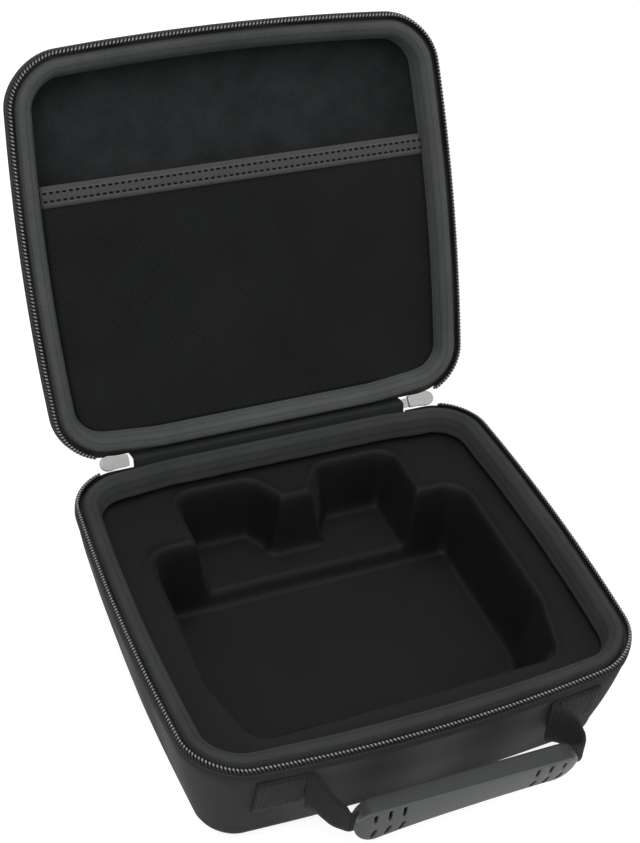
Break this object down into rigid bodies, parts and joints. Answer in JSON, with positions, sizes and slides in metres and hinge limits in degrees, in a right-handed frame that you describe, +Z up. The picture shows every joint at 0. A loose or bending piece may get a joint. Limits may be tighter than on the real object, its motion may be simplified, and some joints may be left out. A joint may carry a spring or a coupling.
{
  "type": "zip-up moulded carry case",
  "caption": "Moulded carry case with a zip-closed hinged lid, a recessed insert, a lid pocket and a web handle with a plastic grip.",
  "frame": {"origin": "middle of the resting face under the base", "axes": "+X along the hinge, to the right as seen from the handle side; +Y towards the hinge wall; +Z up"},
  "size_m": [0.2394, 0.3513, 0.2662],
  "materials": {
    "case_fabric": "moulded shell covered with a fine ribbed woven fabric",
    "binding_tape": "herringbone woven binding tape, edge-stitched",
    "zip_tape": "plain woven zip and hinge tape",
    "zip_coil": "moulded nylon coil, small bright highlights on each turn",
    "insert_cloth": "smooth satin knit over a firm moulded insert",
    "webbing": "ribbed flat webbing",
    "grip_plastic": "satin moulded plastic",
    "lining_cloth": "matt brushed lining",
    "pocket_mesh": "fine knitted mesh",
    "band_elastic": "grosgrain band with two rows of dark dashes",
    "slider_metal": "satin nickel finish"
  },
  "bodies": {
    "base": {"base_shell": "case_fabric", "base_binding": "binding_tape", "base_zip_tape": "zip_tape", "base_zip_coil": "zip_coil", "insert_tray": "insert_cloth", "hinge_strip_lower": "zip_tape", "handle_patch_left": "webbing", "handle_patch_right": "webbing"},
    "handle": {"handle_grip": "grip_plastic", "handle_webbing": "webbing", "handle_strap_left": "webbing", "handle_strap_right": "webbing"},
    "lid": {"lid_shell": "case_fabric", "lid_lining": "lining_cloth", "lid_binding": "binding_tape", "lid_zip_tape": "zip_tape", "lid_zip_coil": "zip_coil", "mesh_pocket": "pocket_mesh", "pocket_band": "band_elastic", "hinge_strip_upper": "zip_tape"},
    "left_slider": {"slider_left": "slider_metal"},
    "right_slider": {"slider_right": "slider_metal"},
    "left_pull": {"pull_left": "slider_metal"},
    "right_pull": {"pull_right": "slider_metal"}
  },
  "joints": [
    {"name": "lid_hinge", "type": "hinge", "parent": "base", "child": "lid", "pos_m": [0, 0.106, 0.069], "axis": [1, 0, 0], "range_deg": [0, 115]},
    {"name": "handle_swing", "type": "hinge", "parent": "base", "child": "handle", "pos_m": [0, -0.1065, 0.044], "axis": [-1, 0, 0], "range_deg": [-20, 60], "deforming": ["handle_strap_left", "handle_strap_right"]},
    {"name": "left_slide", "type": "slide", "parent": "base", "child": "left_slider", "axis": [-1, 0, 0], "range_m": [0, 0.005]},
    {"name": "right_slide", "type": "slide", "parent": "base", "child": "right_slider", "axis": [1, 0, 0], "range_m": [0, 0.005]},
    {"name": "left_pull_swing", "type": "hinge", "parent": "left_slider", "child": "left_pull", "pos_m": [-0.0883, 0.10797, 0.06715], "axis": [0, 0.6858, 0.7278], "range_deg": [-65, 65]},
    {"name": "right_pull_swing", "type": "hinge", "parent": "right_slider", "child": "right_pull", "pos_m": [0.0883, 0.10797, 0.06715], "axis": [0, 0.6858, 0.7278], "range_deg": [-65, 65]}
  ]
}
